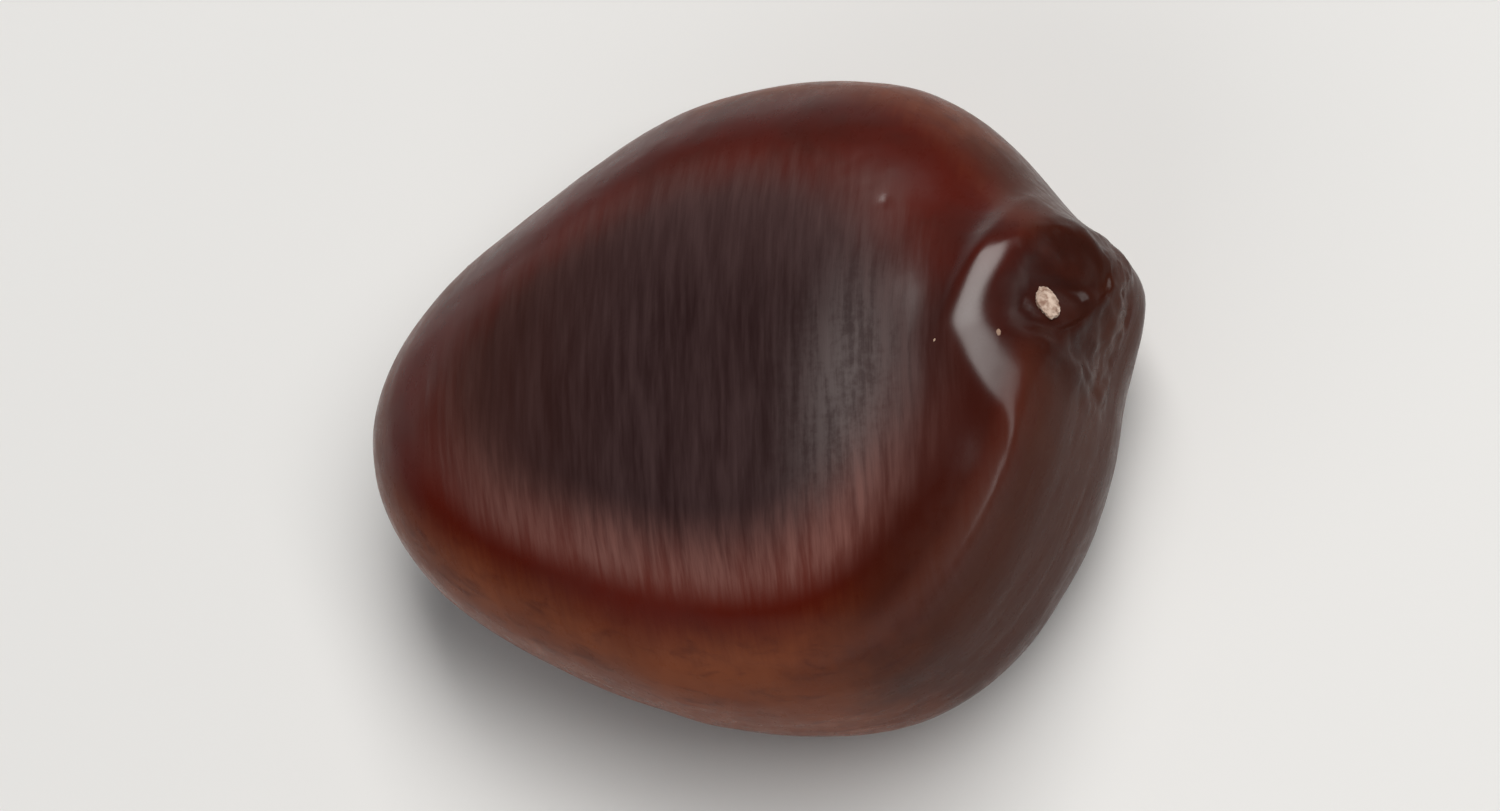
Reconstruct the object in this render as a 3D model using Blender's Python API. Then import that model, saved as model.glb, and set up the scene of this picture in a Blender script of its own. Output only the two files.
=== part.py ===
# Tamarind seed: one solid, lying on a small flat spot in the middle of its lower face.
# +X runs from the blunt end to the beak beside the hilum, +Y across the seed and +Z up through it.

import math

import bmesh
import bpy
from mathutils import Vector

MM = 0.001

# Driving sizes of the finished seed
LENGTH = 15.0 * MM
WIDTH = 12.5 * MM
THICKNESS = 6.4 * MM

# Steps along each edge of the divided cube that the seed is shaped from.
# The steps crowd towards the hilum, where the form is finest.
GRID = 26
CROWDING = 0.3
CROWDED_DIRECTION = 10

# The plan outline is an ellipse that named lobes push out or in.
# Each lobe is its direction in degrees, its height and its spread in degrees.
HALF_LENGTH = 7.0 * MM
HALF_WIDTH = 6.1 * MM
LOBES = {
    "far shoulder": (58, 0.38 * MM, 24),
    "near shoulder": (-50, 0.60 * MM, 24),
    "flat far flank": (138, -0.88 * MM, 34),
    "flat near flank": (-118, -0.45 * MM, 28),
    "blunt end": (188, 0.48 * MM, 26),
}
BEAK = (19, 0.75 * MM, 10)

# The cross-section is a superellipse: a domed face with a rounded rim.
# Towards the near shoulder it is squarer, more so above than below.
HALF_THICKNESS = 3.1 * MM
POWER = 2.35
SQUARE_DIRECTION = -20
SQUARE_SPREAD = 40
SQUARE_ABOVE = 3.0
SQUARE_BELOW = 0.7

# A low ridge runs along the edge of the squared shoulder.
SHOULDER_RIDGE = 0.16 * MM
SHOULDER_RIDGE_DIRECTION = -22
SHOULDER_RIDGE_SPREAD = 20
SHOULDER_RIDGE_SHARE = 0.935
SHOULDER_RIDGE_WIDTH = 0.035

# Two slopes cut a valley from the edge of the face down to the beak, on both faces.
# Each slope is the plan direction it falls in and how far it falls for its run.
VALLEY_HEAD = Vector((5.15 * MM, 0.67 * MM))
VALLEY_TOP = 3.29 * MM
NEAR_SLOPE = Vector((0.74, 0.62))
FAR_SLOPE = Vector((1.36, -0.38))
VALLEY_FLOOR_BLEND = 0.35 * MM
VALLEY_EDGE_BLEND = 0.30 * MM
LOWER_EDGE_BLEND = 0.90 * MM

# On the upper face a crest follows the upper edge of the two slopes, with a bevel between.
CREST_HEIGHT = 0.20 * MM
CREST_WIDTH = 0.52 * MM
CREST_FADE = 1.5 * MM
BEVEL_TOP = 2.93 * MM
BEVEL_GRADE = 0.40
BEVEL_BLEND = 0.28 * MM

# The hilum is a small corky knob on the floor of the upper valley.
HILUM = Vector((6.50 * MM, 1.30 * MM))
HILUM_KNOB_WIDTH = 0.33 * MM
HILUM_KNOB_HEIGHT = 0.16 * MM

# The panel on each face has the outline's shape, and a shallow trough runs round it.
PANEL_CENTRE = Vector((-0.30 * MM, -0.10 * MM))
PANEL_SHARE = 0.655
PANEL_STRETCH = 0.04
TROUGH_PLACE = 1.06
TROUGH_WIDTH = 0.15
TROUGH_DEPTH = 0.04 * MM
TROUGH_EXTRA_DEPTH = 0.10 * MM
TROUGH_EXTRA_SPREAD = 55

# The relief on a face fades out towards the rim, below this share of the ball's height.
FACE_FADE = 0.5

# Broad, slight unevenness of the faces: two waves that cross, both leaning off the axes.
UNEVEN_HEIGHT = 0.05 * MM
UNEVEN_LENGTH = 1.3 * MM
UNEVEN_LEAN = 0.35
UNEVEN_SHIFT = 1.0

# The lowest part of the lower face is worn flat by this much.
REST_FLAT = 0.07 * MM


def bell(distance, spread):
    """1 at no distance, falling smoothly to 0 beyond about twice the spread."""
    return math.exp(-((distance / spread) ** 2))


def lobe(angle, centre, spread):
    """A bell over plan directions, all in degrees."""
    return bell((angle - centre + 180) % 360 - 180, spread)


def smooth_lower(first, second, blend):
    """The lower of two heights, with the crease between them rounded."""
    mix = min(max(0.5 + 0.5 * (second - first) / blend, 0), 1)
    return second * (1 - mix) + first * mix - blend * mix * (1 - mix)


def plan_direction(angle):
    """The plan vector of length 1 in a direction in degrees."""
    return Vector((math.cos(math.radians(angle)), math.sin(math.radians(angle))))


def body_radius(angle):
    """Distance from the centre to the plan outline without the beak."""
    way = plan_direction(angle)
    radius = 1 / math.hypot(way.x / HALF_LENGTH, way.y / HALF_WIDTH)
    for centre, height, spread in LOBES.values():
        radius += height * lobe(angle, centre, spread)
    return radius


def outline_radius(angle):
    """Distance from the centre to the whole plan outline."""
    centre, height, spread = BEAK
    return body_radius(angle) + height * lobe(angle, centre, spread)


def trough_depth(plan):
    """Depth of the trough round the panel, deeper on the hilum's side."""
    from_centre = plan - PANEL_CENTRE
    angle = math.degrees(math.atan2(from_centre.y, from_centre.x))
    share = PANEL_SHARE + PANEL_STRETCH * math.cos(math.radians(2 * angle))
    place = from_centre.length / (share * body_radius(angle))
    depth = TROUGH_DEPTH + TROUGH_EXTRA_DEPTH * lobe(angle, 0, TROUGH_EXTRA_SPREAD)
    return depth * bell(place - TROUGH_PLACE, TROUGH_WIDTH)


def cut_valley(height, plan, upper):
    """Lowers a height to the valley's slopes and raises the upper face's crest along them."""
    from_head = plan - VALLEY_HEAD
    drop = smooth_lower(from_head.dot(NEAR_SLOPE), from_head.dot(FAR_SLOPE), VALLEY_FLOOR_BLEND)
    blend = LOWER_EDGE_BLEND
    if upper:
        blend = VALLEY_EDGE_BLEND
        height += CREST_HEIGHT * bell(min(drop, 0), CREST_WIDTH) * min(height / CREST_FADE, 1)
        height = smooth_lower(height, BEVEL_TOP - BEVEL_GRADE * drop, BEVEL_BLEND)
    return max(smooth_lower(height, VALLEY_TOP - drop, blend), 0)


def unevenness(plan):
    """Slight rise or fall of a face over a plan point."""
    along = plan.x / UNEVEN_LENGTH
    across = plan.y / UNEVEN_LENGTH
    first_wave = math.sin(along + UNEVEN_LEAN * across)
    second_wave = math.sin(across - UNEVEN_LEAN * along + UNEVEN_SHIFT)
    return UNEVEN_HEIGHT * first_wave * second_wave


def seed_point(way):
    """The surface point that a direction out of the middle of the seed reaches."""
    upper = way.z > 0
    angle = math.degrees(math.atan2(way.y, way.x))
    angle -= math.degrees(CROWDING * math.sin(math.radians(angle - CROWDED_DIRECTION)))
    square = lobe(angle, SQUARE_DIRECTION, SQUARE_SPREAD)
    power = POWER + (SQUARE_ABOVE if upper else SQUARE_BELOW) * square
    level = math.hypot(way.x, way.y)
    reach = (level**power + abs(way.z) ** power) ** (-1 / power)
    share = level * reach
    height = HALF_THICKNESS * abs(way.z) * reach
    ridge = 0
    if upper:
        ridge = SHOULDER_RIDGE * bell(share - SHOULDER_RIDGE_SHARE, SHOULDER_RIDGE_WIDTH)
        ridge *= lobe(angle, SHOULDER_RIDGE_DIRECTION, SHOULDER_RIDGE_SPREAD)
    plan = plan_direction(angle) * (share * outline_radius(angle) + ridge)
    face_share = min(abs(way.z) / FACE_FADE, 1)
    height += ridge / 2 + (unevenness(plan) - trough_depth(plan)) * face_share
    height = cut_valley(height, plan, upper)
    if upper:
        height += HILUM_KNOB_HEIGHT * bell((plan - HILUM).length, HILUM_KNOB_WIDTH) * face_share
    height = math.copysign(height, way.z)
    return Vector((plan.x, plan.y, max(height, REST_FLAT - HALF_THICKNESS)))


def ball_direction(corner):
    """Moves a point of the cube's grid to the unit sphere, with even steps."""
    even = Vector([math.tan(part * math.pi / 4) for part in corner])
    return even.normalized()


def seed_material():
    """Dark red-brown seed coat with a waxy shine."""
    material = bpy.data.materials.new("seed_coat")
    material.use_nodes = True
    shader = material.node_tree.nodes["Principled BSDF"]
    shader.inputs["Base Color"].default_value = (0.075, 0.022, 0.014, 1)
    shader.inputs["Roughness"].default_value = 0.34
    shader.inputs["Metallic"].default_value = 0
    return material


def seat_and_size(mesh):
    """Gives the seed its driving sizes, with the middle of its box's base at the origin."""
    low = Vector([min(corner.co[axis] for corner in mesh.vertices) for axis in range(3)])
    high = Vector([max(corner.co[axis] for corner in mesh.vertices) for axis in range(3)])
    base = Vector(((low.x + high.x) / 2, (low.y + high.y) / 2, low.z))
    size = high - low
    for corner in mesh.vertices:
        place = corner.co - base
        corner.co = (
            place.x * LENGTH / size.x,
            place.y * WIDTH / size.y,
            place.z * THICKNESS / size.z,
        )


def build_seed(collection):
    """The whole seed, from an evenly divided cube that is rounded into the seed's form."""
    shape = bmesh.new()
    bmesh.ops.create_cube(shape, size=2)
    bmesh.ops.subdivide_edges(shape, edges=shape.edges[:], cuts=GRID - 1, use_grid_fill=True)
    for corner in shape.verts:
        corner.co = seed_point(ball_direction(corner.co))
    mesh = bpy.data.meshes.new("tamarind_seed")
    shape.to_mesh(mesh)
    shape.free()
    seat_and_size(mesh)
    mesh.shade_smooth()
    mesh.materials.append(seed_material())
    collection.objects.link(bpy.data.objects.new("tamarind_seed", mesh))


def main():
    for leftover in list(bpy.data.objects):
        bpy.data.objects.remove(leftover)
    collection = bpy.data.collections.new("tamarind_seed")
    bpy.context.scene.collection.children.link(collection)
    build_seed(collection)


main()
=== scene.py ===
# A tamarind seed lying on its broad face, seen close from above.
# The coat's form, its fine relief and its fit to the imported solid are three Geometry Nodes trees.
# The first two work in millimetres; the third turns them into metres.

import math

import bpy
from mathutils import Matrix, Vector


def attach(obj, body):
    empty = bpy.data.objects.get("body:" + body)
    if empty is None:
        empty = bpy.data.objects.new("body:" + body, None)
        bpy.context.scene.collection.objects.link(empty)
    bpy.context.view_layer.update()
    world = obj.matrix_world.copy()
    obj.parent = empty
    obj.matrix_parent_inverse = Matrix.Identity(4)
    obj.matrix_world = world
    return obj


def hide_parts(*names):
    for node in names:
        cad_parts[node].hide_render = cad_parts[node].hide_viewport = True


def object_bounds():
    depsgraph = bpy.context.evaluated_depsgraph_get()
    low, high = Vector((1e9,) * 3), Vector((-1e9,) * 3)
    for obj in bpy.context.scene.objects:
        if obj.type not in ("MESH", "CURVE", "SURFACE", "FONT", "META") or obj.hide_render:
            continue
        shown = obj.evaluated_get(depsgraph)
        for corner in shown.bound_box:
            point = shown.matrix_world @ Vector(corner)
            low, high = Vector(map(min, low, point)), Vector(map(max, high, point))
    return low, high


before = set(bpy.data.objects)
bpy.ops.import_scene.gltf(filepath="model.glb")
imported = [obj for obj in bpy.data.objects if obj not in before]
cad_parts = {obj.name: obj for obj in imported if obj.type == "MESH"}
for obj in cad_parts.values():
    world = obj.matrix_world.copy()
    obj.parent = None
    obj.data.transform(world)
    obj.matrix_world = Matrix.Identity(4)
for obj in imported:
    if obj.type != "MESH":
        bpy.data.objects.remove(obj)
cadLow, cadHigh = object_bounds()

mm = 0.001
cadSize = cadHigh - cadLow
print("frame loaded, seed box in mm:", [round(side / mm, 2) for side in cadSize])


# Node sums: a Wire is one output socket, so that node maths reads like ordinary sums

class Wire:
    def __init__(self, tree, socket):
        self.tree = tree
        self.socket = socket

    def __add__(self, other):
        return maths("ADD", self, other)

    def __sub__(self, other):
        return maths("SUBTRACT", self, other)

    def __rsub__(self, other):
        return maths("SUBTRACT", other, self)

    def __mul__(self, other):
        return maths("MULTIPLY", self, other)

    def __truediv__(self, other):
        return maths("DIVIDE", self, other)

    def __rtruediv__(self, other):
        return maths("DIVIDE", other, self)

    def __pow__(self, other):
        return maths("POWER", self, other)

    def __abs__(self):
        return maths("ABSOLUTE", self)

    __radd__ = __add__
    __rmul__ = __mul__


def feed(value, socket, tree):
    if isinstance(value, Wire):
        tree.links.new(value.socket, socket)
    else:
        socket.default_value = value


def addNode(tree, kind, values=None, **settings):
    # values go to the inputs by name or number, settings to the node itself
    node = tree.nodes.new(kind)
    for name, setting in settings.items():
        setattr(node, name, setting)
    for key, value in (values or {}).items():
        feed(value, node.inputs[key], tree)
    return node


def combine(kind, operation, values):
    tree = next(value.tree for value in values if isinstance(value, Wire))
    node = addNode(tree, kind, dict(enumerate(values)), operation=operation)
    return tree, node


def maths(operation, *values):
    tree, node = combine("ShaderNodeMath", operation, values)
    return Wire(tree, node.outputs[0])


def vectorMaths(operation, *values):
    tree, node = combine("ShaderNodeVectorMath", operation, values)
    return Wire(tree, node.outputs["Vector"])


def scaled(vector, amount):
    values = {"Vector": vector, "Scale": amount}
    node = addNode(vector.tree, "ShaderNodeVectorMath", values, operation="SCALE")
    return Wire(vector.tree, node.outputs["Vector"])


def parts(vector):
    node = addNode(vector.tree, "ShaderNodeSeparateXYZ", {0: vector})
    return [Wire(vector.tree, socket) for socket in node.outputs]


def joined(tree, x, y, z):
    node = addNode(tree, "ShaderNodeCombineXYZ", {0: x, 1: y, 2: z})
    return Wire(tree, node.outputs[0])


def smoothStep(value, low, high):
    values = {"Value": value, "From Min": low, "From Max": high, "To Min": 0.0, "To Max": 1.0}
    node = addNode(value.tree, "ShaderNodeMapRange", values, interpolation_type="SMOOTHSTEP")
    return Wire(value.tree, node.outputs[0])


def fadeOut(value, low, high):
    return 1.0 - smoothStep(value, low, high)


def between(share, low, high):
    # low where the share is 0, high where it is 1
    return share * (high - low) + low


def flatLength(x, y):
    return maths("SQRT", x * x + y * y)


def bell(distance, spread):
    # 1 at no distance, falling smoothly to 0 beyond about twice the spread
    ratio = distance / spread
    return maths("EXPONENT", ratio * ratio * -1.0)


def lobe(angle, centre, spread):
    # a bell over plan directions; centre and spread in degrees, angle in radians
    away = maths("WRAP", angle - math.radians(centre), math.pi, -math.pi)
    return bell(away, math.radians(spread))


def noise(vector, scale, detail=2.0, roughness=0.5, distortion=0.0):
    # centred on 0, about -0.5 to 0.5
    values = {
        "Vector": vector, "Scale": scale, "Detail": detail,
        "Roughness": roughness, "Distortion": distortion,
    }
    node = addNode(vector.tree, "ShaderNodeTexNoise", values)
    return Wire(vector.tree, node.outputs[0]) - 0.5


def startTree(name, kind, inputs, outputs):
    # inputs and outputs are {socket name: (socket type, value or None)}
    tree = bpy.data.node_groups.new(name, kind)
    for side, sockets in (("INPUT", inputs), ("OUTPUT", outputs)):
        for label, (socketType, value) in sockets.items():
            socket = tree.interface.new_socket(label, in_out=side, socket_type=socketType)
            if value is not None:
                socket.default_value = value
    source = tree.nodes.new("NodeGroupInput")
    wires = {label: Wire(tree, source.outputs[label]) for label in inputs}
    return tree, wires, tree.nodes.new("NodeGroupOutput")


def startGeometryTree(name, sizes):
    inputs = {"Geometry": ("NodeSocketGeometry", None)}
    for label, value in sizes.items():
        inputs[label] = ("NodeSocketInt" if isinstance(value, int) else "NodeSocketFloat", value)
    return startTree(name, "GeometryNodeTree", inputs, {"Geometry": ("NodeSocketGeometry", None)})


def spreadOut(tree, columns=14, columnWidth=190, rowHeight=230):
    # puts the nodes in rows, so that the tree can be read when it is opened
    for number, node in enumerate(tree.nodes):
        node.location = (number % columns * columnWidth, -(number // columns) * rowHeight)


def position(tree):
    return Wire(tree, tree.nodes.new("GeometryNodeInputPosition").outputs[0])


def normal(tree):
    return Wire(tree, tree.nodes.new("GeometryNodeInputNormal").outputs[0])


def stored(tree, name):
    node = addNode(tree, "GeometryNodeInputNamedAttribute", {"Name": name}, data_type="FLOAT")
    return Wire(tree, node.outputs[0])


def store(geometry, name, value):
    tree = geometry.tree
    values = {"Geometry": geometry, "Name": name, "Value": value}
    settings = {"data_type": "FLOAT", "domain": "POINT"}
    node = addNode(tree, "GeometryNodeStoreNamedAttribute", values, **settings)
    return Wire(tree, node.outputs[0])


def placed(geometry, **places):
    node = addNode(geometry.tree, "GeometryNodeSetPosition", {"Geometry": geometry, **places})
    return Wire(geometry.tree, node.outputs[0])


def finished(geometry, material):
    # made real, shaded smooth and given its material
    tree = geometry.tree
    real = addNode(tree, "GeometryNodeRealizeInstances", {"Geometry": geometry})
    values = {"Geometry": Wire(tree, real.outputs[0]), "Shade Smooth": True}
    smooth = addNode(tree, "GeometryNodeSetShadeSmooth", values)
    values = {"Geometry": Wire(tree, smooth.outputs[0]), "Material": material}
    dressed = addNode(tree, "GeometryNodeSetMaterial", values)
    return Wire(tree, dressed.outputs[0])


def runTrees(name, mesh, steps):
    # runs each (tree, values) on the mesh in turn and returns the plain result
    carrier = bpy.data.objects.new(name + "Carrier", mesh)
    bpy.context.scene.collection.objects.link(carrier)
    for tree, values in steps:
        modifier = carrier.modifiers.new(tree.name, "NODES")
        modifier.node_group = tree
        for item in tree.interface.items_tree:
            if item.in_out == "INPUT" and item.name in values:
                modifier[item.identifier] = values[item.name]
    graph = bpy.context.evaluated_depsgraph_get()
    made = bpy.data.meshes.new_from_object(carrier.evaluated_get(graph), depsgraph=graph)
    bpy.data.objects.remove(carrier)
    made.name = name
    piece = bpy.data.objects.new(name, made)
    bpy.context.scene.collection.objects.link(piece)
    return piece


# Form of the coat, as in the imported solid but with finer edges

coatForm = {
    "Steps Along": 220,
    "Steps Across": 104,
    "Steps Deep": 70,
    "Half Length": 7.0,
    "Half Width": 6.1,
    "Half Thickness": 3.1,
    "Beak Height": 0.75,
    "Ridge Height": 0.16,
    "Valley Top": 3.29,
    "Bevel Top": 2.93,
    "Crest Height": 0.20,
    "Trough Depth": 0.04,
    "Extra Trough Depth": 0.10,
    "Uneven Height": 0.05,
    "Hilum Ring Depth": 0.13,
    "Rest Flat": 0.07,
}

# direction in degrees, height in mm, spread in degrees
outlineLobes = {
    "far shoulder": (58, 0.38, 24),
    "near shoulder": (-50, 0.60, 24),
    "flat far flank": (138, -0.88, 34),
    "flat near flank": (-118, -0.45, 28),
    "blunt end": (188, 0.48, 26),
}

# a pair is a direction and a spread in degrees, a place in mm, a fall for each mm along x and y,
# or a middle and a spread
coatShape = {
    "beak": (19, 10),
    "crowding": 0.3,
    "crowdedDirection": 10,
    "power": 2.35,
    "square": (-20, 40),
    "squareAbove": 3.0,
    "squareBelow": 0.7,
    "ridge": (-22, 20),
    "ridgeShare": (0.935, 0.035),
    "valleyHead": (5.15, 0.67),
    "nearSlope": (0.74, 0.62),
    "farSlope": (1.36, -0.38),
    "valleyFloorBlend": 0.40,
    "valleyEdgeBlend": 0.30,
    "lowerEdgeBlend": 0.90,
    "crestWidth": 0.52,
    "crestFade": 1.5,
    "bevelGrade": 0.40,
    "bevelBlend": 0.28,
    "hilum": (6.50, 1.30),
    "hilumRing": (0.42, 0.17),
    "panelCentre": (-0.30, -0.10),
    "panelShare": 0.655,
    "panelStretch": 0.04,
    "trough": (1.06, 0.15),
    "extraTroughSpread": 55,
    "faceFade": 0.5,
    "unevenLength": 1.3,
    "unevenLean": 0.35,
    "unevenShift": 1.0,
    "farAway": 9.0,
}


def bodyRadius(angle, sizes):
    along = maths("COSINE", angle) / sizes["Half Length"]
    across = maths("SINE", angle) / sizes["Half Width"]
    radius = 1.0 / flatLength(along, across)
    for centre, height, spread in outlineLobes.values():
        radius = radius + lobe(angle, centre, spread) * height
    return radius


def slopeDrop(x, y, slope):
    headX, headY = coatShape["valleyHead"]
    return (x - headX) * slope[0] + (y - headY) * slope[1]


def buildFormTree():
    shape = coatShape
    tree, sizes, out = startGeometryTree("seedForm", coatForm)
    geometry = Wire(tree, addNode(tree, "GeometryNodeMeshCube", {
        "Size": (2, 2, 2),
        "Vertices X": sizes["Steps Along"] + 1,
        "Vertices Y": sizes["Steps Across"] + 1,
        "Vertices Z": sizes["Steps Deep"] + 1,
    }).outputs[0])

    # every point of the cube's grid becomes a direction out of the seed's middle
    even = [maths("TANGENT", side * (math.pi / 4)) for side in parts(position(tree))]
    x, y, z = parts(vectorMaths("NORMALIZE", joined(tree, *even)))
    upper = maths("GREATER_THAN", z, 0.0)
    angle = maths("ARCTAN2", y, x)
    angle = angle - maths("SINE", angle - math.radians(shape["crowdedDirection"])) * shape["crowding"]

    # superellipse section
    square = lobe(angle, *shape["square"])
    extra = between(upper, shape["squareBelow"], shape["squareAbove"])
    power = square * extra + shape["power"]
    level = flatLength(x, y)
    reach = (level ** power + abs(z) ** power) ** (-1.0 / power)
    share = level * reach
    height = sizes["Half Thickness"] * abs(z) * reach

    # plan, with the ridge along the squared shoulder
    ridge = upper * sizes["Ridge Height"] * lobe(angle, *shape["ridge"])
    ridge = ridge * bell(share - shape["ridgeShare"][0], shape["ridgeShare"][1])
    outline = bodyRadius(angle, sizes) + sizes["Beak Height"] * lobe(angle, *shape["beak"])
    radius = share * outline + ridge
    planX = radius * maths("COSINE", angle)
    planY = radius * maths("SINE", angle)

    # trough round the panel, and broad unevenness
    fromX = planX - shape["panelCentre"][0]
    fromY = planY - shape["panelCentre"][1]
    panelAngle = maths("ARCTAN2", fromY, fromX)
    panelShare = maths("COSINE", panelAngle * 2.0) * shape["panelStretch"] + shape["panelShare"]
    place = flatLength(fromX, fromY) / (panelShare * bodyRadius(panelAngle, sizes))
    hilumSide = lobe(panelAngle, 0, shape["extraTroughSpread"])
    depth = sizes["Trough Depth"] + sizes["Extra Trough Depth"] * hilumSide
    trough = depth * bell(place - shape["trough"][0], shape["trough"][1])
    waveX = planX / shape["unevenLength"]
    waveY = planY / shape["unevenLength"]
    firstWave = maths("SINE", waveX + waveY * shape["unevenLean"])
    secondWave = maths("SINE", waveY - waveX * shape["unevenLean"] + shape["unevenShift"])
    relief = firstWave * secondWave * sizes["Uneven Height"] - trough
    faceShare = maths("MINIMUM", abs(z) / shape["faceFade"], 1.0)
    height = height + ridge * 0.5 + relief * faceShare

    # valley down to the beak; above it, on the upper face, a crest with a bevel on the valley's side
    near = slopeDrop(planX, planY, shape["nearSlope"])
    far = slopeDrop(planX, planY, shape["farSlope"])
    drop = maths("SMOOTH_MIN", near, far, shape["valleyFloorBlend"])
    crest = sizes["Crest Height"] * bell(maths("MINIMUM", drop, 0.0), shape["crestWidth"])
    crested = height + crest * maths("MINIMUM", height / shape["crestFade"], 1.0)
    bevel = sizes["Bevel Top"] - drop * shape["bevelGrade"]
    bevelled = maths("SMOOTH_MIN", crested, bevel, shape["bevelBlend"])
    height = height + upper * (bevelled - height)
    edgeBlend = between(upper, shape["lowerEdgeBlend"], shape["valleyEdgeBlend"])
    height = maths("SMOOTH_MIN", height, sizes["Valley Top"] - drop, edgeBlend)
    height = maths("MAXIMUM", height, 0.0)

    # ring sunk round the hilum
    hilumX = planX - shape["hilum"][0]
    hilumY = planY - shape["hilum"][1]
    hilumReach = flatLength(hilumX, hilumY) + (1.0 - upper) * shape["farAway"]
    ring = bell(hilumReach - shape["hilumRing"][0], shape["hilumRing"][1])
    height = height - ring * sizes["Hilum Ring Depth"] * faceShare
    height = height * (upper * 2.0 - 1.0)
    height = maths("MAXIMUM", height, sizes["Rest Flat"] - sizes["Half Thickness"])

    geometry = store(geometry, "panelPlace", place)
    geometry = store(geometry, "rimLevel", share)
    geometry = store(geometry, "turn", angle)
    geometry = store(geometry, "hilumReach", hilumReach)
    geometry = store(geometry, "valleyDrop", drop)
    geometry = placed(geometry, Position=joined(tree, planX, planY, height))
    feed(geometry, out.inputs[0], tree)
    spreadOut(tree)
    return tree


# Fine relief of the coat

coatRelief = {
    "Streak Height": 0.040,
    "Fine Streak Height": 0.022,
    "Streaks Per Millimetre": 3.0,
    "Streak Lean": 0.143,
    "Hilum Lump Height": 0.42,
    "Wrinkle Height": 0.050,
    "Lump Height": 0.10,
    "Pit Depth": 0.030,
    "Cork Height": 0.06,
}


# scales are per mm; a pair is where a change starts and ends, unless a note says otherwise
reliefShape = {
    "streakNarrowing": 0.0022,
    "wander": (0.25, 0.8),  # scale and width
    "streakStretch": (0.30, 0.1),  # scales along y and z
    "fineStreaks": 2.4,
    "panelFray": 0.25,
    "panelEdge": (0.86, 1.14),
    "wrinkleStretch": (2.2, 1.3),  # scales round the rim and along z
    "lumps": 0.42,
    "pits": 0.85,
    "pitWidth": 0.085,
    "pitGroups": 0.7,
    "pitGroupEdge": (0.02, 0.12),
    "hollowEdge": (0.55, 1.1),
    "hollowReach": (1.1, 0.8),  # middle and spread
    "hollowLumps": 1.2,
    "corkEdge": (0.35, 0.80),
    "corkLumps": 4.0,
}


def panelEdge(tree, streaks):
    # 1 on the panel and 0 on the glossy rim, with an edge frayed along the streaks
    place = stored(tree, "panelPlace") + streaks * reliefShape["panelFray"]
    return fadeOut(place, *reliefShape["panelEdge"])


def buildReliefTree():
    shape = reliefShape
    tree, sizes, out = startGeometryTree("seedRelief", coatRelief)
    geometry = sizes["Geometry"]
    here = position(tree)
    x, y, z = parts(here)

    # streaks run across the seed, wander a little and draw together towards its flanks
    wanderScale, wanderWidth = shape["wander"]
    fan = x * (y * y * shape["streakNarrowing"] + 1.0) + y * sizes["Streak Lean"]
    fan = fan + noise(here, wanderScale) * wanderWidth
    stretchY, stretchZ = shape["streakStretch"]
    coarse = joined(tree, fan * sizes["Streaks Per Millimetre"], y * stretchY, z * stretchZ)
    streaks = noise(coarse, 1.0, detail=2.0, roughness=0.55)
    fineStreaks = noise(coarse, shape["fineStreaks"], detail=1.0)
    panel = panelEdge(tree, streaks)
    push = panel * (streaks * sizes["Streak Height"] + fineStreaks * sizes["Fine Streak Height"])

    # long low wrinkles round the rim, gentle lumps and scattered pits on the glossy coat
    rim = 1.0 - panel
    turn = stored(tree, "turn")
    roundRim, upRim = shape["wrinkleStretch"]
    ringWay = joined(tree, maths("COSINE", turn) * roundRim, maths("SINE", turn) * roundRim, z * upRim)
    wrinkles = noise(ringWay, 1.0, detail=3.0, roughness=0.55, distortion=0.3)
    push = push + rim * wrinkles * sizes["Wrinkle Height"]
    push = push + noise(here, shape["lumps"], detail=1.0) * sizes["Lump Height"]
    values = {"Vector": here, "Scale": shape["pits"], "Randomness": 1.0}
    cells = addNode(tree, "ShaderNodeTexVoronoi", values)
    pits = bell(Wire(tree, cells.outputs["Distance"]), shape["pitWidth"])
    someCells = smoothStep(noise(here, shape["pitGroups"]), *shape["pitGroupEdge"])
    push = push - pits * someCells * rim * sizes["Pit Depth"]

    # lumps in the hollow round the hilum, and a corky floor under it
    reach = stored(tree, "hilumReach")
    hollowMiddle, hollowSpread = shape["hollowReach"]
    inHollow = smoothStep(stored(tree, "valleyDrop"), *shape["hollowEdge"])
    inHollow = inHollow * bell(reach - hollowMiddle, hollowSpread)
    hollowLumps = noise(here, shape["hollowLumps"], detail=4.0, roughness=0.62)
    push = push + inHollow * hollowLumps * sizes["Hilum Lump Height"]
    cork = fadeOut(reach, *shape["corkEdge"])
    corkLumps = noise(here, shape["corkLumps"], detail=3.0, roughness=0.6)
    push = push + cork * corkLumps * sizes["Cork Height"]

    geometry = store(geometry, "streak", streaks)
    geometry = placed(geometry, Offset=scaled(normal(tree), push))
    feed(geometry, out.inputs[0], tree)
    spreadOut(tree)
    return tree


def buildFitTree():
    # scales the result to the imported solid's box, with the middle of its base at the origin
    sides = {"Length": cadSize.x, "Width": cadSize.y, "Thickness": cadSize.z}
    tree, sizes, out = startGeometryTree("seedFit", sides)
    box = addNode(tree, "GeometryNodeBoundBox", {0: sizes["Geometry"]})
    low = Wire(tree, box.outputs["Min"])
    fromLow = vectorMaths("SUBTRACT", position(tree), low)
    whole = vectorMaths("SUBTRACT", Wire(tree, box.outputs["Max"]), low)
    ratio = vectorMaths("DIVIDE", fromLow, whole)
    size = joined(tree, sizes["Length"], sizes["Width"], sizes["Thickness"])
    base = vectorMaths("MULTIPLY", size, (0.5, 0.5, 0.0))
    place = vectorMaths("SUBTRACT", vectorMaths("MULTIPLY", ratio, size), base)
    feed(finished(placed(sizes["Geometry"], Position=place), coatMaterial), out.inputs[0], tree)
    spreadOut(tree)
    return tree, sides


# Shader groups that the materials share

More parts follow.
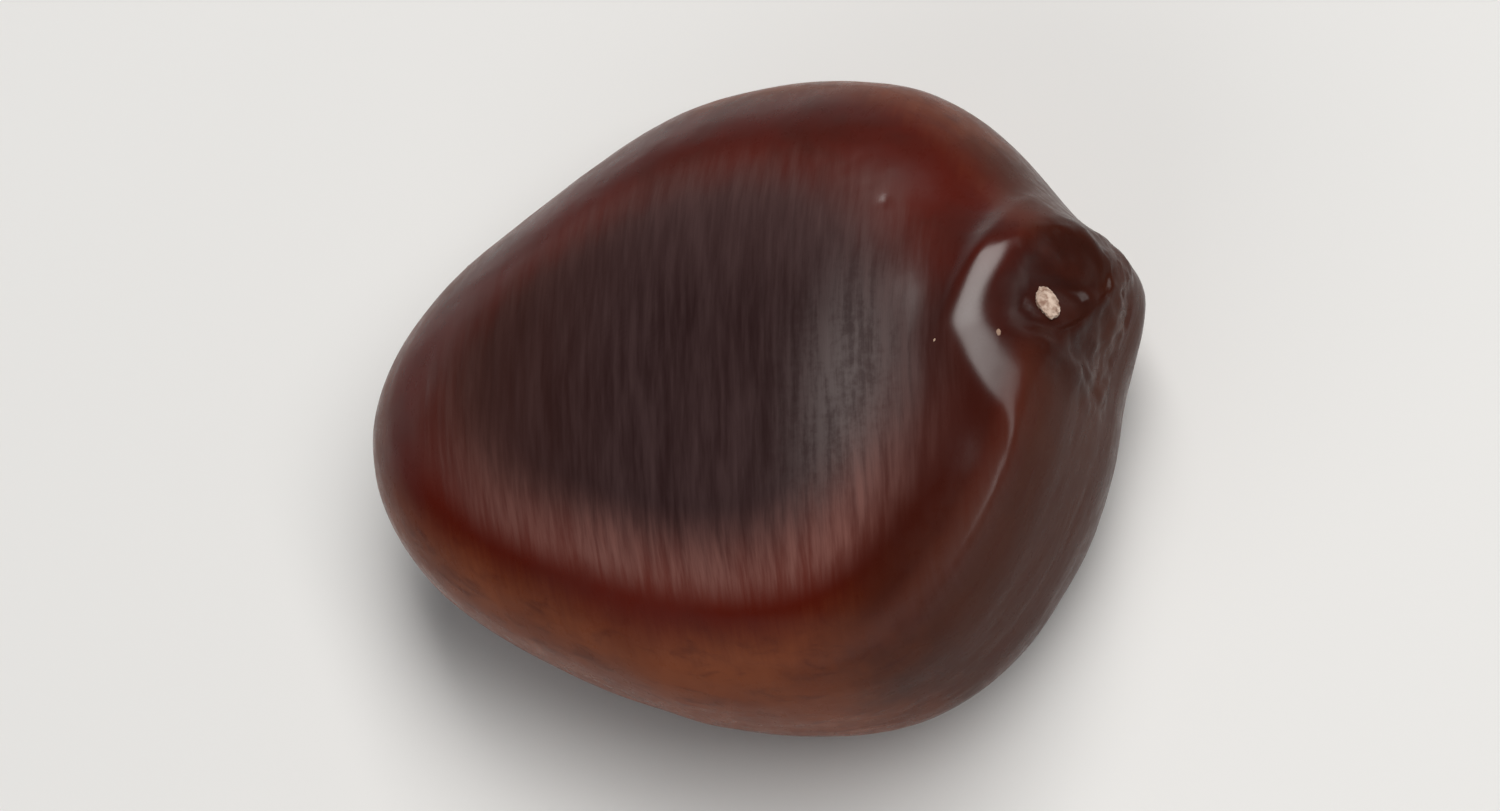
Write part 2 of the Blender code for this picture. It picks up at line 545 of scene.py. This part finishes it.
grainLook = {
    "pore scale": 1.3,
    "pore width": 0.35,
    "pore depth": 0.05,
    "mask edge": (-0.15, 0.15),
}


def buildGrainGroup():
    # fine pores and skin grain: a height for Bump and a mask that follows it
    inputs = {
        "Coordinates": ("NodeSocketVector", None),
        "Grains Per Millimetre": ("NodeSocketFloat", 6.0),
        "Stretch": ("NodeSocketFloat", 1.0),
    }
    outputs = {"Height": ("NodeSocketFloat", None), "Mask": ("NodeSocketFloat", None)}
    tree, wires, out = startTree("skinGrain", "ShaderNodeTree", inputs, outputs)
    x, y, z = parts(scaled(wires["Coordinates"], 1 / mm))
    stretched = joined(tree, x, y / wires["Stretch"], z)
    coarse = noise(stretched, wires["Grains Per Millimetre"], detail=4.0, roughness=0.6)
    values = {"Vector": stretched, "Scale": wires["Grains Per Millimetre"] * grainLook["pore scale"]}
    cells = addNode(tree, "ShaderNodeTexVoronoi", values)
    pores = fadeOut(Wire(tree, cells.outputs["Distance"]), 0.0, grainLook["pore width"])
    feed(coarse - pores * grainLook["pore depth"], out.inputs["Height"], tree)
    feed(smoothStep(coarse, *grainLook["mask edge"]), out.inputs["Mask"], tree)
    spreadOut(tree)
    return tree


def buildMottleGroup():
    # cloudy change between two colours
    inputs = {
        "Coordinates": ("NodeSocketVector", None),
        "Clouds Per Millimetre": ("NodeSocketFloat", 0.5),
        "Contrast": ("NodeSocketFloat", 0.12),
        "First Color": ("NodeSocketColor", None),
        "Second Color": ("NodeSocketColor", None),
    }
    outputs = {"Color": ("NodeSocketColor", None), "Mask": ("NodeSocketFloat", None)}
    tree, wires, out = startTree("mottle", "ShaderNodeTree", inputs, outputs)
    here = scaled(wires["Coordinates"], 1 / mm)
    clouds = noise(here, wires["Clouds Per Millimetre"], detail=5.0, roughness=0.55, distortion=0.4)
    mask = smoothStep(clouds, wires["Contrast"] * -1.0, wires["Contrast"])
    feed(blended(mask, wires["First Color"], wires["Second Color"]), out.inputs["Color"], tree)
    feed(mask, out.inputs["Mask"], tree)
    spreadOut(tree)
    return tree


def blended(mask, first, second):
    node = addNode(mask.tree, "ShaderNodeMix", {0: mask, 6: first, 7: second}, data_type="RGBA")
    return Wire(mask.tree, node.outputs[2])


def useGroup(tree, group, values):
    node = addNode(tree, "ShaderNodeGroup", node_tree=group)
    for label, value in values.items():
        feed(value, node.inputs[label], tree)
    return {socket.name: Wire(tree, socket) for socket in node.outputs}


def mottled(tree, here, look, first, second):
    return useGroup(tree, mottleGroup, {
        "Coordinates": here,
        "Clouds Per Millimetre": look["clouds per mm"],
        "Contrast": look["cloud contrast"],
        "First Color": first,
        "Second Color": second,
    })


def grained(tree, here, look):
    return useGroup(tree, grainGroup, {
        "Coordinates": here,
        "Grains Per Millimetre": look["grains per mm"],
        "Stretch": look["grain stretch"],
    })


def startMaterial(name, constants):
    material = bpy.data.materials.new(name)
    material.use_nodes = True
    tree = material.node_tree
    shader = tree.nodes["Principled BSDF"]
    for label, value in constants.items():
        shader.inputs[label].default_value = value
    coordinates = Wire(tree, tree.nodes.new("ShaderNodeTexCoord").outputs["Object"])
    return material, tree, shader, coordinates


def attribute(tree, name):
    return Wire(tree, addNode(tree, "ShaderNodeAttribute", attribute_name=name).outputs["Fac"])


def bumped(shader, tree, height, strength, distance):
    values = {"Height": height, "Strength": strength, "Distance": distance}
    bump = addNode(tree, "ShaderNodeBump", values)
    feed(Wire(tree, bump.outputs[0]), shader.inputs["Normal"], tree)


grainGroup = buildGrainGroup()
mottleGroup = buildMottleGroup()


# Materials

# places are in mm or in shares of the way out, scales are per mm, and a pair is where a change
# starts and ends, unless a note says otherwise
coatLook = {
    "colours": {
        "mahogany": (0.048, 0.0075, 0.0040, 1),
        "deep red": (0.078, 0.0055, 0.0013, 1),
        "wall orange": (0.195, 0.0490, 0.0165, 1),
        "wall brown": (0.142, 0.0330, 0.0115, 1),
        # browner wall under the squared shoulder, darkened further as painted shade
        "shoulder brown and shade": (0.024, 0.0058, 0.0035, 1),
        # painted shade in the trough inside the squared shoulder's edge
        "inner shoulder shade": (0.033, 0.0054, 0.0028, 1),
        # painted sheen along the squared shoulder's edge
        "painted edge sheen": (0.076, 0.0310, 0.0260, 1),
        "panel plum": (0.021, 0.0090, 0.0090, 1),
        "panel grey": (0.046, 0.0250, 0.0250, 1),
        "panel brown": (0.042, 0.0150, 0.0115, 1),
        "panel far tint": (0.095, 0.0500, 0.0480, 1),
        # painted sheen, a pale grey haze on the panel towards the hilum
        "paintedSheen": (0.132, 0.1080, 0.1050, 1),
        "warm streak": (0.190, 0.0800, 0.0660, 1),
        # painted shade in the hollow beyond the crest, over the dark brown round the hilum
        "hollow": (0.024, 0.0060, 0.0040, 1),
    },
    "rim": {
        "clouds per mm": 0.42,
        "cloud contrast": 0.22,
        "lower side": (-1.0, 3.0),
        "red band": (1.15, 1.45),
        "red strength": 0.7,
    },
    "wall": {
        "clouds per mm": 0.6,
        "cloud contrast": 0.22,
        "edge": (0.84, 1.0),
        "edge fray": 0.06,
        "near side": (1.5, 4.0),
        "near side lift": 0.07,
        "drift": (0.55, 4.0),  # scale and width
        "shade start": (2.3, 5.3),
        "shade edge": (0.80, 0.95),
        "shade strength": 0.82,
        "groove stretch": (1.2, 4.0),  # scales round the wall and up it
        "groove edge": (-0.02, 0.28),
        "groove strength": 0.6,
    },
    "shoulder": {
        "inner end": (2.6, 4.8),
        "inner side": (0.5, 2.5),
        "inner edge": (0.87, 0.94),
        "inner strength": 0.85,
        # the painted sheen along the shoulder's edge
        "edge sheen level": (0.935, 0.040),  # middle and spread
        "edge sheen way": (-34, 28),  # direction and spread in degrees
        "edge sheen strength": 0.6,
        "edge sheen hairs": 0.8,
    },
    "panel": {
        "hairs per mm": 7.0,
        "hair length": 0.7,
        "hair lean": 0.143,
        "edge lean": 0.012,
        "edge": (0.82, 1.14),
        "edge fray": (0.15, 0.12),  # by the streaks and by the hairs
        "sheen mix": (0.7, 1.1),  # of the streaks and of the hairs
        "sheen edge": (-0.35, 0.45),
        "brown end": (0.5, 5.0),
        "brown strength": 0.7,
        "far tint side": (0.5, 3.5),
        "far tint strength": 0.3,
    },
    # the painted sheen on the panel
    "paintedSheen": {
        "place": (3.45, -0.7),
        "spread": (0.95, 2.2),
        "speckles per mm": 5.5,
        "speckle mix": 0.9,
        "speckle edge": (-0.35, 0.20),
        "faintest": 0.40,
        "strongest": 0.95,
        "strength": 0.75,
    },
    "warm streaks": {
        "inner edge": (0.70, 1.02),
        "outer edge": (1.03, 1.20),
        "far side": 0.25,
        "streak mix": 0.5,
        "streak edge": (-0.25, 0.30),
        "faintest": 0.28,
        "strongest": 0.83,
        "blunt end": (-6.0, -1.0),
        "blunt end strength": 0.5,
        "hilum end": (3.4, 5.0),
        "hilum end strength": 0.4,
    },
    # the painted shade in the hollow
    "hollow": {
        "patches per mm": 1.4,
        "drop": (0.45, 1.1),
        "reach": (1.0, 2.6),
        "reach fray": 1.6,
        "level": (3.6, 4.6),
        "strength": 0.72,
        "patch strength": 0.9,
    },
    "gloss": {
        "rim roughness": (0.26, 0.38),
        "panel roughness": 0.50,
        "rim coat": 0.95,
        "wall coat": 0.14,
        "near wall": (0.75, 0.95),
        "near wall lift": 0.25,
    },
    "grain": {
        "grains per mm": 4.0,
        "grain stretch": 1.6,
        "rim grain": 0.4,
        "wall grain": 0.1,
        "rim hairs": 0.3,
        "panel hairs": 2.0,
        "wall grooves": 1.6,
        "strength": 0.6,
        "distance": 0.010 * mm,
    },
}


def buildCoatMaterial():
    constants = {"Coat Roughness": 0.25, "Coat IOR": 1.48, "Specular IOR Level": 0.05}
    material, tree, shader, here = startMaterial("seedCoat", constants)
    colours = coatLook["colours"]
    x, y, z = parts(scaled(here, 1 / mm))
    streak = attribute(tree, "streak")
    rimLevel = attribute(tree, "rimLevel")

    # fine hairlines across the seed, which tint the panel strongly and the rim a little
    look = coatLook["panel"]
    acrossHairs = (x + y * look["hair lean"]) * look["hairs per mm"]
    hairs = noise(joined(tree, acrossHairs, y * look["hair length"], z), 1.0, detail=3.0, roughness=0.6)
    place = attribute(tree, "panelPlace") - x * look["edge lean"]

    # glossy rim: deep red beside the panel, mahogany over the shoulder
    look = coatLook["rim"]
    lower = smoothStep(y * -1.0, *look["lower side"])
    rim = mottled(tree, here, look, colours["deep red"], colours["mahogany"])["Color"]
    redBand = lower * fadeOut(place, *look["red band"]) * look["red strength"]
    rim = blended(redBand, rim, colours["deep red"])

    # orange-brown wall with fine grooves round it, darker under the squared shoulder: a browner wall
    # there, darkened further as painted shade
    look = coatLook["wall"]
    wall = mottled(tree, here, look, colours["wall brown"], colours["wall orange"])["Color"]
    driftScale, driftWidth = look["drift"]
    drift = noise(here, driftScale / mm, detail=4.0, roughness=0.6)
    shade = smoothStep(x + drift * driftWidth, *look["shade start"])
    shade = shade * smoothStep(rimLevel, *look["shade edge"]) * look["shade strength"]
    wall = blended(shade, wall, colours["shoulder brown and shade"])
    roundWall, upWall = look["groove stretch"]
    around = joined(tree, x * roundWall, y * roundWall, z * upWall)
    grooves = noise(around, 1.0, detail=4.0, roughness=0.6, distortion=0.6)
    grooveTint = smoothStep(grooves, *look["groove edge"]) * look["groove strength"]
    wall = blended(grooveTint, wall, colours["mahogany"])
    nearSide = smoothStep(y * -1.0, *look["near side"])
    frayedLevel = rimLevel + hairs * look["edge fray"] + nearSide * look["near side lift"]
    onWall = smoothStep(frayedLevel, *look["edge"])
    colour = blended(onWall, rim, wall)

    # squared shoulder: painted shade in the trough inside its edge, and a paler painted sheen along the
    # edge itself
    look = coatLook["shoulder"]
    inner = smoothStep(x, *look["inner end"]) * fadeOut(y, *look["inner side"])
    inner = inner * fadeOut(rimLevel, *look["inner edge"]) * look["inner strength"]
    colour = blended(inner, colour, colours["inner shoulder shade"])
    edgeSheenLevel, edgeSheenSpread = look["edge sheen level"]
    edgeSheen = bell(rimLevel - edgeSheenLevel, edgeSheenSpread) * lobe(attribute(tree, "turn"), *look["edge sheen way"])
    edgeSheen = edgeSheen * (hairs * look["edge sheen hairs"] + look["edge sheen strength"])
    colour = blended(edgeSheen, colour, colours["painted edge sheen"])

    # dull panel with plum and grey streaks, browner at the blunt end and paler on the far side
    look = coatLook["panel"]
    streakMix, hairMix = look["sheen mix"]
    sheen = smoothStep(streak * streakMix + hairs * hairMix, *look["sheen edge"])
    panelColour = blended(sheen, colours["panel plum"], colours["panel grey"])
    brown = smoothStep(x * -1.0, *look["brown end"]) * look["brown strength"]
    panelColour = blended(brown, panelColour, colours["panel brown"])
    farTint = smoothStep(y, *look["far tint side"]) * look["far tint strength"]
    panelColour = blended(farTint, panelColour, colours["panel far tint"])

    # painted sheen towards the hilum: a pale grey haze, speckled
    look = coatLook["paintedSheen"]
    sheenX, sheenY = look["place"]
    paintedSheen = bell(x - sheenX, look["spread"][0]) * bell(y - sheenY, look["spread"][1])
    speckle = noise(here, look["speckles per mm"] / mm, detail=3.0, roughness=0.7)
    sheenSpeckles = smoothStep(streak + hairs + speckle * look["speckle mix"], *look["speckle edge"])
    paintedSheen = paintedSheen * between(sheenSpeckles, look["faintest"], look["strongest"])
    panelColour = blended(paintedSheen * look["strength"], panelColour, colours["paintedSheen"])
    look = coatLook["panel"]
    streakFray, hairFray = look["edge fray"]
    panel = fadeOut(place - streak * streakFray - hairs * hairFray, *look["edge"])
    colour = blended(panel, colour, panelColour)

    # warm, light streaks along the panel's edge
    look = coatLook["warm streaks"]
    warm = smoothStep(place, *look["inner edge"]) * fadeOut(place, *look["outer edge"])
    warm = warm * between(lower, look["far side"], 1.0)
    warmStreaks = smoothStep(hairs + streak * look["streak mix"], *look["streak edge"])
    warm = warm * between(warmStreaks, look["faintest"], look["strongest"])
    warm = warm * between(smoothStep(x, *look["blunt end"]), look["blunt end strength"], 1.0)
    warm = warm * between(smoothStep(x, *look["hilum end"]), 1.0, look["hilum end strength"])
    colour = blended(warm, colour, colours["warm streak"])

    # dark, patchy hollow beyond the crest: painted shade, over the dark brown round the hilum
    look = coatLook["hollow"]
    patches = noise(here, look["patches per mm"] / mm, detail=4.0, roughness=0.6)
    patchyReach = attribute(tree, "hilumReach") + patches * look["reach fray"]
    hollow = smoothStep(attribute(tree, "valleyDrop"), *look["drop"])
    hollow = hollow * fadeOut(patchyReach, *look["reach"]) * smoothStep(z, *look["level"])
    hollow = hollow * (look["strength"] + patches * look["patch strength"])
    colour = blended(hollow, colour, colours["hollow"])
    feed(colour, shader.inputs["Base Color"], tree)

    # gloss, clear on the rim, faint on the near wall and none on the panel
    look = coatLook["gloss"]
    grain = grained(tree, here, coatLook["grain"])
    rimRough = between(grain["Mask"], *look["rim roughness"])
    feed(between(panel, rimRough, look["panel roughness"]), shader.inputs["Roughness"], tree)
    nearWall = smoothStep(rimLevel + nearSide * look["near wall lift"], *look["near wall"])
    coatWeight = between(nearWall, look["rim coat"], look["wall coat"])
    feed((1.0 - panel) * coatWeight, shader.inputs["Coat Weight"], tree)

    look = coatLook["grain"]
    height = grain["Height"] * between(onWall, look["rim grain"], look["wall grain"])
    height = height + between(panel, look["rim hairs"], look["panel hairs"]) * hairs
    height = height + onWall * grooves * look["wall grooves"]
    bumped(shader, tree, height, look["strength"], look["distance"])
    spreadOut(tree)
    return material


corkLook = {
    "dark": (0.25, 0.14, 0.095, 1),
    "pale": (0.62, 0.48, 0.39, 1),
    "clouds per mm": 5.0,
    "cloud contrast": 0.15,
    "grains per mm": 14.0,
    "grain stretch": 1.0,
    "roughness": (0.65, 0.85),
    "bump": (0.8, 0.02 * mm),  # strength and distance
}
pulpLook = {
    "dark": (0.16, 0.075, 0.045, 1),
    "pale": (0.40, 0.27, 0.19, 1),
    "clouds per mm": 3.0,
    "cloud contrast": 0.15,
    "grains per mm": 16.0,
    "grain stretch": 1.0,
    "roughness": (0.45, 0.70),
    "bump": (0.6, 0.01 * mm),
}
floorLook = {
    "dark": (0.78, 0.775, 0.765, 1),
    "pale": (0.80, 0.795, 0.785, 1),
    "clouds per mm": 0.02,
    "cloud contrast": 0.3,
}


def buildGrainyMaterial(name, look, roughInGrain):
    # mottled and grainy; its roughness follows the grain or else the mottling
    material, tree, shader, here = startMaterial(name, {})
    mottle = mottled(tree, here, look, look["dark"], look["pale"])
    feed(mottle["Color"], shader.inputs["Base Color"], tree)
    grain = grained(tree, here, look)
    mask = grain["Mask"] if roughInGrain else mottle["Mask"]
    feed(between(mask, *look["roughness"]), shader.inputs["Roughness"], tree)
    bumped(shader, tree, grain["Height"], *look["bump"])
    spreadOut(tree)
    return material


def buildFloorMaterial():
    material, tree, shader, here = startMaterial("paleFloor", {"Roughness": 0.7})
    mottle = mottled(tree, here, floorLook, floorLook["dark"], floorLook["pale"])
    feed(mottle["Color"], shader.inputs["Base Color"], tree)
    spreadOut(tree)
    return material


coatMaterial = buildCoatMaterial()
corkMaterial = buildGrainyMaterial("hilumCork", corkLook, roughInGrain=True)
fleckMaterial = buildGrainyMaterial("driedPulp", pulpLook, roughInGrain=False)
print("materials built:", len(bpy.data.materials))


# The seed coat

fitTree, fitSides = buildFitTree()
coatSteps = [(buildFormTree(), coatForm), (buildReliefTree(), coatRelief), (fitTree, fitSides)]
coat = runTrees("seedCoat", bpy.data.meshes.new("start"), coatSteps)
print("seed coat:", len(coat.data.vertices), "points")


def nearestToHilum():
    # the coat's point in the middle of the hilum, and the way the coat faces there
    reach = coat.data.attributes["hilumReach"].data
    number = min(range(len(reach)), key=lambda point: reach[point].value)
    point = coat.data.vertices[number]
    return point.co.copy(), point.normal.copy()


# Corky plug in the hilum

hilumPlug = {
    "Plug Length": 0.34,
    "Plug Width": 0.21,
    "Plug Height": 0.10,
    "Crumble": 0.70,
    "Crumble Scale": 1.7,
    "Divisions": 5,
}


def buildPlugTree():
    tree, sizes, out = startGeometryTree("hilumPlug", hilumPlug)
    values = {"Radius": 1.0, "Subdivisions": sizes["Divisions"]}
    ball = addNode(tree, "GeometryNodeMeshIcoSphere", values)
    here = position(tree)
    crumble = noise(here, sizes["Crumble Scale"], detail=4.0, roughness=0.65) * sizes["Crumble"]
    x, y, z = parts(vectorMaths("ADD", here, scaled(normal(tree), crumble)))
    squashed = joined(tree, x * sizes["Plug Length"], y * sizes["Plug Width"], z * sizes["Plug Height"])
    geometry = placed(Wire(tree, ball.outputs[0]), Position=scaled(squashed, mm))
    feed(finished(geometry, corkMaterial), out.inputs[0], tree)
    spreadOut(tree)
    return tree


hilumPlace, hilumWay = nearestToHilum()
plug = runTrees("hilumPlug", bpy.data.meshes.new("start"), [(buildPlugTree(), hilumPlug)])
plugTurn = hilumWay.to_track_quat("Z", "Y").to_matrix().to_4x4()
plug.data.transform(Matrix.Translation(hilumPlace) @ plugTurn)
print("hilum plug at", [round(part / mm, 2) for part in hilumPlace])


# Flecks of dried pulp that still cling to the coat

pulpFlecks = {
    "sockets": {"Flecks Per Square Centimetre": 1.6, "Smallest": 0.025, "Largest": 0.065, "Seed": 5},
    "near hilum": (0.6, 2.6),
    "extra near hilum": 6.0,
    "divisions": 3,
    "lumps per mm": 1.4,
    "lump height": 0.7,
    "flattest": (0.8, 0.5, 0.25),
    "fullest": (1.7, 1.0, 0.5),
    "proportion seed": 3,
    "length seed": 7,
    "turn seed": 9,
}
perSquareCentimetre = 1e4


def buildFleckTree():
    shape = pulpFlecks
    tree, sizes, out = startGeometryTree("pulpFlecks", shape["sockets"])
    near = fadeOut(stored(tree, "hilumReach"), *shape["near hilum"])
    density = sizes["Flecks Per Square Centimetre"] * (near * shape["extra near hilum"] + 1.0)
    density = density * perSquareCentimetre
    values = {"Mesh": sizes["Geometry"], "Density": density, "Seed": sizes["Seed"]}
    points = addNode(tree, "GeometryNodeDistributePointsOnFaces", values)
    values = {"Radius": mm, "Subdivisions": shape["divisions"]}
    crumb = addNode(tree, "GeometryNodeMeshIcoSphere", values)
    lumps = noise(position(tree), shape["lumps per mm"] / mm, detail=2.0)
    lumpPush = scaled(normal(tree), lumps * shape["lump height"] * mm)
    shaped = placed(Wire(tree, crumb.outputs[0]), Offset=lumpPush)
    values = {"Min": shape["flattest"], "Max": shape["fullest"], "Seed": shape["proportion seed"]}
    size = addNode(tree, "FunctionNodeRandomValue", values, data_type="FLOAT_VECTOR")
    values = {2: sizes["Smallest"], 3: sizes["Largest"], "Seed": shape["length seed"]}
    length = addNode(tree, "FunctionNodeRandomValue", values, data_type="FLOAT")
    values = {2: 0.0, 3: math.tau, "Seed": shape["turn seed"]}
    turn = addNode(tree, "FunctionNodeRandomValue", values, data_type="FLOAT")
    spun = addNode(tree, "FunctionNodeRotateRotation", {
        "Rotation": Wire(tree, points.outputs["Rotation"]),
        "Rotate By": joined(tree, 0.0, 0.0, Wire(tree, turn.outputs[1])),
    }, rotation_space="LOCAL")
    crumbs = addNode(tree, "GeometryNodeInstanceOnPoints", {
        "Points": Wire(tree, points.outputs["Points"]),
        "Instance": shaped,
        "Rotation": Wire(tree, spun.outputs[0]),
        "Scale": scaled(Wire(tree, size.outputs[0]), Wire(tree, length.outputs[1])),
    })
    feed(finished(Wire(tree, crumbs.outputs[0]), fleckMaterial), out.inputs[0], tree)
    spreadOut(tree)
    return tree


fleckSteps = [(buildFleckTree(), pulpFlecks["sockets"])]
flecks = runTrees("pulpFlecks", coat.data.copy(), fleckSteps)
print("pulp flecks:", len(flecks.data.polygons), "faces")


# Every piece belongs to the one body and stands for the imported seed

for piece in (coat, plug, flecks):
    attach(piece, "root")
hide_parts("tamarind_seed")


# Floor, light and camera

studio = {
    "floor side": 0.6,
    "key": {
        "place": (0.160, 0.108, 0.360),
        "along": (-0.465, 0.655, -0.116),
        "size": (0.52, 0.18),
        "watts": 2.05,
        "colour": (1.0, 0.985, 0.96),
    },
    "fill": {
        "place": (-0.12, -0.32, 0.20),
        "along": (1, 0, 0),
        "size": (0.46, 0.34),
        "watts": 0.42,
        "colour": (1.0, 0.99, 0.97),
    },
    "horizon": (0.30, 0.31, 0.32, 1),
    "zenith": (0.060, 0.064, 0.070, 1),
    "horizon height": (0.05, 0.40),
    "lens": 200,
    "view from": (0.42, -0.28, 0.863),
    "up": (0.0, 0.951, 0.3085),
    "view width": 0.0280,
    "clip": (0.1, 20),  # shares of the distance
}


def buildFloor():
    side = studio["floor side"] / 2
    mesh = bpy.data.meshes.new("floor")
    corners = [(-side, -side, 0), (side, -side, 0), (side, side, 0), (-side, side, 0)]
    mesh.from_pydata(corners, [], [(0, 1, 2, 3)])
    mesh.materials.append(buildFloorMaterial())
    floor = bpy.data.objects.new("floor", mesh)
    bpy.context.scene.collection.objects.link(floor)


def addLight(name):
    settings = studio[name]
    light = bpy.data.lights.new(name + "Light", "AREA")
    light.shape = "RECTANGLE"
    light.size, light.size_y = settings["size"]
    light.energy = settings["watts"]
    light.color = settings["colour"]
    lamp = bpy.data.objects.new(name + "Light", light)
    outward = Vector(settings["place"]).normalized()
    across = outward.cross(Vector(settings["along"])).normalized()
    turn = Matrix((across.cross(outward), across, outward)).transposed().to_4x4()
    lamp.matrix_world = Matrix.Translation(settings["place"]) @ turn
    bpy.context.scene.collection.objects.link(lamp)


def buildWorld():
    # pale near the horizon and dark overhead, so that the coat's shine comes from the lamps
    world = bpy.data.worlds.new("surround")
    world.use_nodes = True
    tree = world.node_tree
    up = parts(Wire(tree, tree.nodes.new("ShaderNodeTexCoord").outputs["Generated"]))[2]
    sky = blended(smoothStep(up, *studio["horizon height"]), studio["horizon"], studio["zenith"])
    feed(sky, tree.nodes["Background"].inputs["Color"], tree)
    spreadOut(tree)
    bpy.context.scene.world = world


def buildCamera():
    lens = bpy.data.cameras.new("camera")
    lens.lens = studio["lens"]
    camera = bpy.data.objects.new("camera", lens)
    bpy.context.scene.collection.objects.link(camera)
    back = Vector(studio["view from"]).normalized()
    up = Vector(studio["up"])
    right = up.cross(back).normalized()
    up = back.cross(right)
    distance = studio["view width"] * lens.lens / lens.sensor_width
    middle = (cadLow + cadHigh) / 2
    turn = Matrix((right, up, back)).transposed().to_4x4()
    camera.matrix_world = Matrix.Translation(middle + back * distance) @ turn
    lens.clip_start, lens.clip_end = [distance * share for share in studio["clip"]]
    bpy.context.scene.camera = camera


buildFloor()
for lightName in ("key", "fill"):
    addLight(lightName)
buildWorld()
buildCamera()
bpy.context.scene.view_settings.view_transform = "Standard"
print("studio ready")
